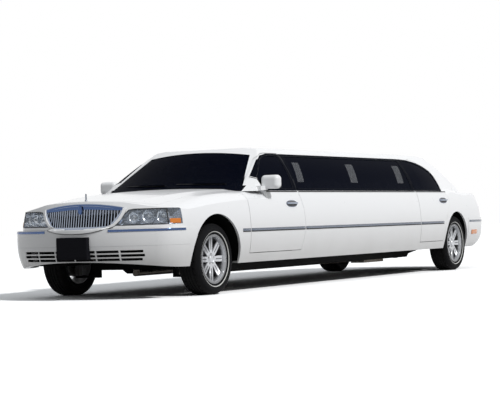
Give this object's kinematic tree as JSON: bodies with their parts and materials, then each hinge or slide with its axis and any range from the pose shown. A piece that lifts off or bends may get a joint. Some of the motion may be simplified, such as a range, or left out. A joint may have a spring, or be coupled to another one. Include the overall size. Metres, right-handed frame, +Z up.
{
  "type": "stretch limousine",
  "caption": "White four-door stretch limousine with a long fixed side window, upright bar grille, hinged doors, hood and trunk lid, steering and rolling wheels.",
  "frame": {"origin": "on the ground, under the middle of the car", "axes": "+X to the left (driver) side, +Y to the tail, the car faces -Y, +Z up"},
  "size_m": [2.17, 8.573, 1.5019],
  "materials": {
    "paint": "gloss white",
    "window_glass": "dark tinted",
    "clear_glass": "lightly tinted",
    "lamp_lens": "clear",
    "red_lens": "gloss",
    "chrome": "polished",
    "alloy": "satin",
    "tyre": "satin",
    "black_steel": "satin black",
    "cast_metal": "rough",
    "exhaust_steel": "dull",
    "leather": "satin black",
    "trim_plastic": "matt",
    "plate_black": "gloss black",
    "cabinet_wood": "polished"
  },
  "bodies": {
    "car_body": {"bar_cabinet": "cabinet_wood", "body_side_left": "paint", "body_side_right": "paint", "cowl": "paint", "crossmembers": "black_steel", "dashboard": "trim_plastic", "driveshaft": "cast_metal", "engine_block": "cast_metal", "exhaust": "exhaust_steel", "fenders": "paint", "floor_pan": "black_steel", "frame_rails": "black_steel", "front_bumper": "paint", "front_plate": "plate_black", "front_seats": "leather", "front_suspension": "black_steel", "fuel_tank": "black_steel", "grille_bars": "chrome", "grille_frame": "chrome", "headlamps": "lamp_lens", "nose_panel": "paint", "partition": "trim_plastic", "radiator": "black_steel", "rear_axle": "black_steel", "rear_bumper": "paint", "rear_seats": "leather", "rear_shelf": "paint", "rear_window": "window_glass", "roof": "paint", "side_glass": "window_glass", "steering_wheel": "trim_plastic", "tail_lamps": "red_lens", "tail_panel": "paint", "wheel_houses": "trim_plastic", "windshield": "clear_glass"},
    "front_door_left": {"door_front_left": "paint", "door_glass_front_left": "window_glass", "mirror_left": "paint"},
    "rear_door_left": {"door_rear_left": "paint", "door_glass_rear_left": "window_glass"},
    "steering_knuckle_left": {"knuckle_left": "black_steel"},
    "road_wheel_front_left": {"wheel_front_left": "alloy", "tyre_front_left": "tyre"},
    "road_wheel_rear_left": {"wheel_rear_left": "alloy", "tyre_rear_left": "tyre"},
    "front_door_right": {"door_front_right": "paint", "door_glass_front_right": "window_glass", "mirror_right": "paint"},
    "rear_door_right": {"door_rear_right": "paint", "door_glass_rear_right": "window_glass"},
    "steering_knuckle_right": {"knuckle_right": "black_steel"},
    "road_wheel_front_right": {"wheel_front_right": "alloy", "tyre_front_right": "tyre"},
    "road_wheel_rear_right": {"wheel_rear_right": "alloy", "tyre_rear_right": "tyre"},
    "hood_panel": {"hood": "paint"},
    "trunk_panel": {"trunk_lid": "paint", "rear_plate": "plate_black"}
  },
  "joints": [
    {"name": "front_door_left_hinge", "type": "hinge", "parent": "car_body", "child": "front_door_left", "pos_m": [0.985, -2.5865, 0.69], "axis": [0, 0, -1], "range_deg": [0, 65]},
    {"name": "rear_door_left_hinge", "type": "hinge", "parent": "car_body", "child": "rear_door_left", "pos_m": [0.985, 1.6515, 0.69], "axis": [0, 0, -1], "range_deg": [0, 65]},
    {"name": "front_door_right_hinge", "type": "hinge", "parent": "car_body", "child": "front_door_right", "pos_m": [-0.985, -2.5865, 0.69], "axis": [0, 0, 1], "range_deg": [0, 65]},
    {"name": "rear_door_right_hinge", "type": "hinge", "parent": "car_body", "child": "rear_door_right", "pos_m": [-0.985, 1.6515, 0.69], "axis": [0, 0, 1], "range_deg": [0, 65]},
    {"name": "hood_hinge", "type": "hinge", "parent": "car_body", "child": "hood_panel", "pos_m": [0, -2.5155, 1.048], "axis": [-1, 0, 0], "range_deg": [0, 50]},
    {"name": "trunk_hinge", "type": "hinge", "parent": "car_body", "child": "trunk_panel", "pos_m": [0, 3.4315, 1.045], "axis": [1, 0, 0], "range_deg": [0, 72]},
    {"name": "steer_left", "type": "hinge", "parent": "car_body", "child": "steering_knuckle_left", "pos_m": [0.7, -3.1765, 0.343], "axis": [0, 0, 1], "range_deg": [-32, 32]},
    {"name": "roll_front_left", "type": "hinge", "parent": "steering_knuckle_left", "child": "road_wheel_front_left", "pos_m": [0.792, -3.1765, 0.343], "axis": [1, 0, 0], "continuous": true},
    {"name": "roll_rear_left", "type": "hinge", "parent": "car_body", "child": "road_wheel_rear_left", "pos_m": [0.8085, 2.8615, 0.343], "axis": [1, 0, 0], "continuous": true},
    {"name": "steer_right", "type": "hinge", "parent": "car_body", "child": "steering_knuckle_right", "pos_m": [-0.7, -3.1765, 0.343], "axis": [0, 0, 1], "range_deg": [-32, 32]},
    {"name": "roll_front_right", "type": "hinge", "parent": "steering_knuckle_right", "child": "road_wheel_front_right", "pos_m": [-0.792, -3.1765, 0.343], "axis": [1, 0, 0], "continuous": true},
    {"name": "roll_rear_right", "type": "hinge", "parent": "car_body", "child": "road_wheel_rear_right", "pos_m": [-0.8085, 2.8615, 0.343], "axis": [1, 0, 0], "continuous": true}
  ],
  "couplings": [
    {"joint": "steer_right", "follows": "steer_left", "ratio": 1}
  ]
}
